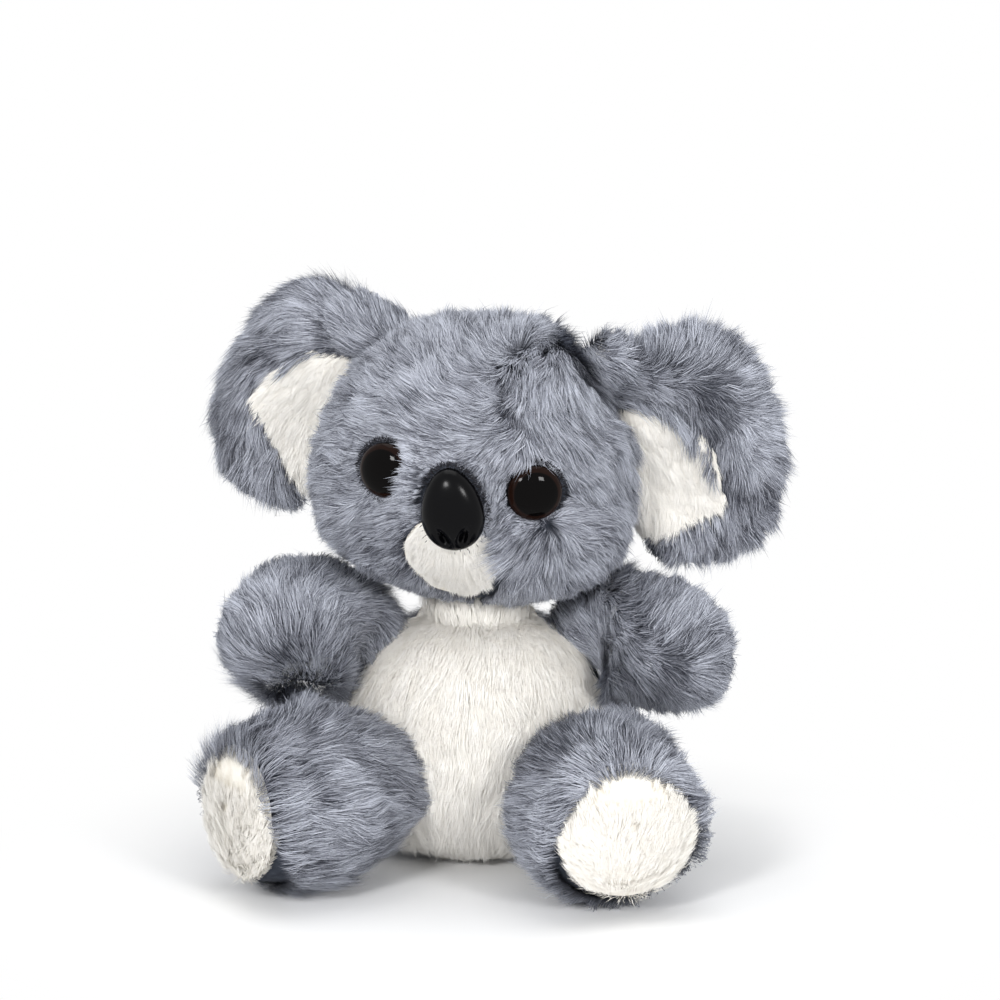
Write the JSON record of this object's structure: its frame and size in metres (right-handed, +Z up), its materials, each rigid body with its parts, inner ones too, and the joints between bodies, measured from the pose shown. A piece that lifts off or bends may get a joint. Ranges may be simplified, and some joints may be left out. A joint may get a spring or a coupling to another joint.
{
  "type": "plush koala",
  "caption": "Sitting plush koala with a large jointed head, round flexing ears, curled arms and outstretched legs with pale soles.",
  "frame": {"origin": "on the floor, under the middle of the whole toy's box", "axes": "+Z is up, the face looks along -Y, +X is the koala's left side"},
  "size_m": [0.2406, 0.1634, 0.2393],
  "materials": {
    "grey_fur": "long soft blue-grey plush pile with paler tips",
    "white_fur": "soft cream-white plush pile",
    "stuffing": "loose white polyester fibre",
    "pellet_cloth": "plain woven inner bag of plastic pellets",
    "eye_plastic": "high gloss black with a dark brown rim",
    "nose_plastic": "semi-gloss moulded black",
    "washer_plastic": "plain moulded white"
  },
  "bodies": {
    "torso": {"torso_skin": "grey_fur", "belly_panel_left": "white_fur", "belly_panel_right": "white_fur", "torso_stuffing": "stuffing", "pellet_bag": "pellet_cloth"},
    "neck": {"neck_stuffing": "stuffing"},
    "head": {"head_skin": "grey_fur", "muzzle_patch": "white_fur", "head_stuffing": "stuffing", "nose": "nose_plastic", "nose_washer": "washer_plastic", "eye_left": "eye_plastic", "eye_right": "eye_plastic", "eye_washer_left": "washer_plastic", "eye_washer_right": "washer_plastic"},
    "ear_left": {"ear_back_left": "grey_fur", "ear_lining_left": "white_fur"},
    "ear_right": {"ear_back_right": "grey_fur", "ear_lining_right": "white_fur"},
    "arm_left": {"arm_skin_left": "grey_fur", "arm_stuffing_left": "stuffing"},
    "arm_right": {"arm_skin_right": "grey_fur", "arm_stuffing_right": "stuffing"},
    "leg_left": {"leg_skin_left": "grey_fur", "leg_stuffing_left": "stuffing", "foot_sole_left": "white_fur"},
    "leg_right": {"leg_skin_right": "grey_fur", "leg_stuffing_right": "stuffing", "foot_sole_right": "white_fur"}
  },
  "joints": [
    {"name": "neck_turn", "type": "hinge", "parent": "torso", "child": "neck", "pos_m": [-0.00682, 0.02736, 0.10575], "axis": [0, 0, 1], "range_deg": [-18, 18], "stiffness_Nm_per_rad": 1},
    {"name": "neck_nod", "type": "hinge", "parent": "neck", "child": "head", "pos_m": [-0.00682, 0.02736, 0.10575], "axis": [0.9847, -0.1115, -0.1337], "range_deg": [-8, 7], "stiffness_Nm_per_rad": 1.5},
    {"name": "ear_left_flex", "type": "hinge", "parent": "head", "child": "ear_left", "pos_m": [0.04912, 0.03036, 0.17169], "axis": [-0.1943, -0.0452, 0.9799], "range_deg": [-15, 15], "stiffness_Nm_per_rad": 0.15},
    {"name": "ear_right_flex", "type": "hinge", "parent": "head", "child": "ear_right", "pos_m": [-0.0557, 0.04247, 0.1824], "axis": [-0.4306, 0.1159, -0.8951], "range_deg": [-15, 15], "stiffness_Nm_per_rad": 0.15},
    {"name": "arm_left_swing", "type": "hinge", "parent": "torso", "child": "arm_left", "pos_m": [0.03518, 0.02136, 0.094], "axis": [0, 0, 1], "range_deg": [-12, 10], "stiffness_Nm_per_rad": 0.3},
    {"name": "arm_right_swing", "type": "hinge", "parent": "torso", "child": "arm_right", "pos_m": [-0.04882, 0.02136, 0.094], "axis": [0, 0, -1], "range_deg": [-25, 20], "stiffness_Nm_per_rad": 0.3},
    {"name": "leg_left_swing", "type": "hinge", "parent": "torso", "child": "leg_left", "pos_m": [0.03268, -0.01114, 0.041], "axis": [0, 0, 1], "range_deg": [-5, 25], "stiffness_Nm_per_rad": 0.6},
    {"name": "leg_right_swing", "type": "hinge", "parent": "torso", "child": "leg_right", "pos_m": [-0.04632, -0.01114, 0.041], "axis": [0, 0, -1], "range_deg": [-30, 8], "stiffness_Nm_per_rad": 0.6}
  ]
}
